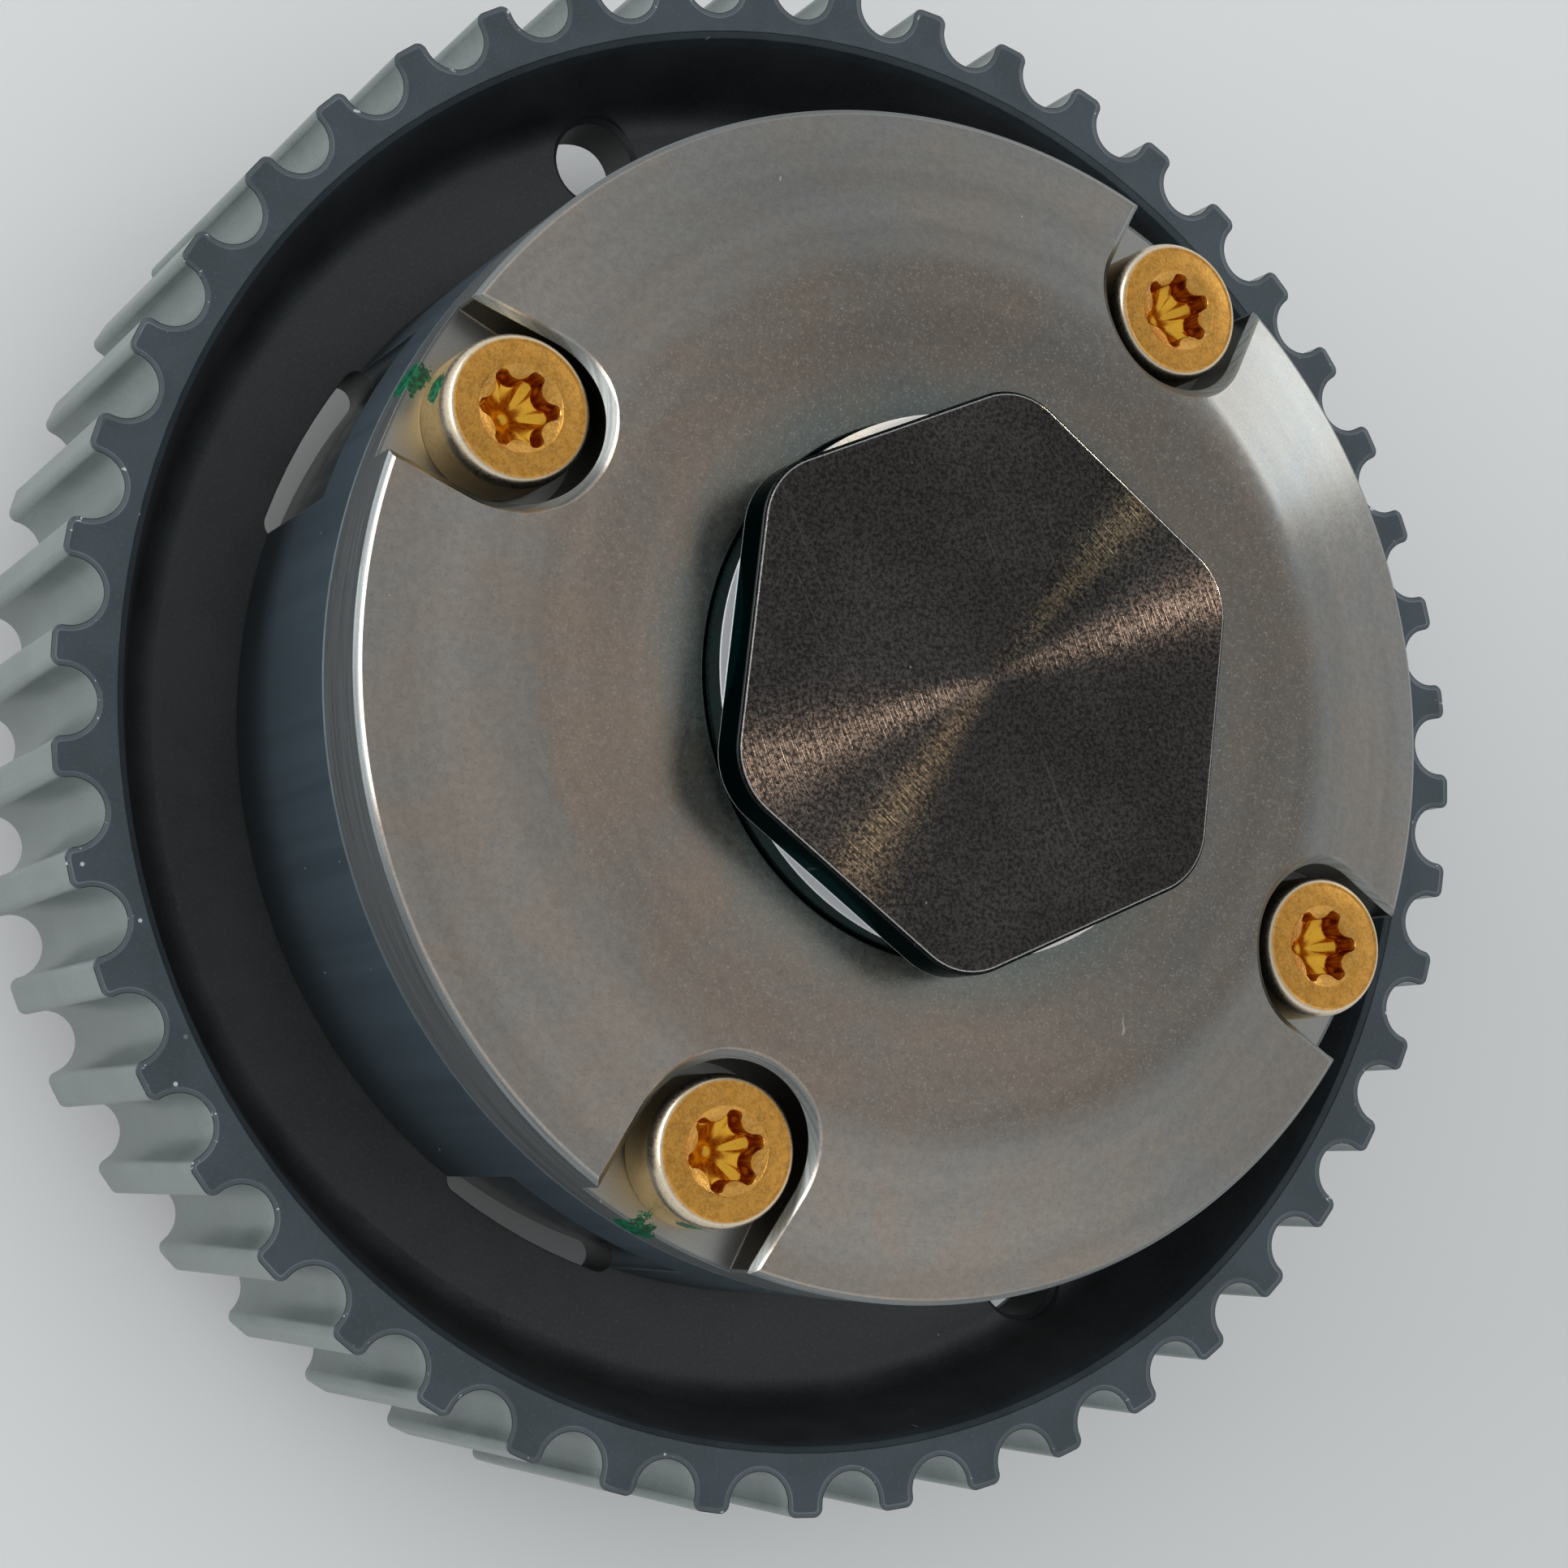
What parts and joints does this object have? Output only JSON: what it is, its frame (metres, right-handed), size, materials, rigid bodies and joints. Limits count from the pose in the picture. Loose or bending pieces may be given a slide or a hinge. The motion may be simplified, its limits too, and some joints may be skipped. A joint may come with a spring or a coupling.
{
  "type": "cam phaser",
  "caption": "Vane-type cam phaser: toothed belt pulley with a drum on its web, a round steel cover held by six-lobe screws, and a hexagon plug; the rotor inside turns through its timing travel.",
  "frame": {"origin": "on the axis, at the rear end of the collar, where the part stands", "axes": "+Z along the axis towards the hexagon plug (the engine's front); X to the right and Y up as the picture shows the cover"},
  "size_m": [0.1208, 0.1208, 0.0608],
  "materials": {
    "pulley_metal": "sintered steel, steam-treated blue-black, satin",
    "drum_metal": "sintered steel, steam-treated blue-black, satin",
    "cover_steel": "turned and ground steel with a warm grey surface",
    "gold_zinc": "yellow zinc plating",
    "plug_steel": "blackened steel, turned face",
    "seal_rubber": "fluororubber",
    "rotor_metal": "sintered steel, ground",
    "bright_steel": "hardened and ground",
    "spring_steel": "spring steel",
    "tip_seal": "filled polymer"
  },
  "bodies": {
    "housing": {"belt_pulley": "pulley_metal", "stator": "drum_metal", "front_cover": "cover_steel", "cover_screws": "gold_zinc", "hex_plug": "plug_steel", "plug_o_ring": "seal_rubber", "cover_o_ring": "seal_rubber", "rear_o_ring": "seal_rubber", "lock_bush": "bright_steel", "locating_dowel": "bright_steel", "cover_dowel": "bright_steel", "shoe_seal_1": "tip_seal", "shoe_seal_2": "tip_seal", "shoe_seal_3": "tip_seal", "shoe_seal_4": "tip_seal", "shoe_spring_1": "spring_steel", "shoe_spring_2": "spring_steel", "shoe_spring_3": "spring_steel", "shoe_spring_4": "spring_steel"},
    "rotor": {"rotor": "rotor_metal", "lock_cap": "bright_steel", "lock_spring": "spring_steel", "camshaft_dowel": "bright_steel", "vane_seal_1": "tip_seal", "vane_seal_2": "tip_seal", "vane_seal_3": "tip_seal", "vane_seal_4": "tip_seal", "vane_spring_1": "spring_steel", "vane_spring_2": "spring_steel", "vane_spring_3": "spring_steel", "vane_spring_4": "spring_steel"},
    "lock_pin": {"lock_pin": "bright_steel"}
  },
  "joints": [
    {"name": "rotor_turn", "type": "hinge", "parent": "housing", "child": "rotor", "pos_m": [0, 0, 0.0345], "axis": [0, 0, 1], "range_deg": [-25, 0]},
    {"name": "lock_pin_lift", "type": "slide", "parent": "rotor", "child": "lock_pin", "axis": [0, 0, 1], "range_m": [0, 0.0012], "stiffness_N_per_m": 500, "springref_m": -0.006, "deforming": ["lock_spring"]}
  ]
}
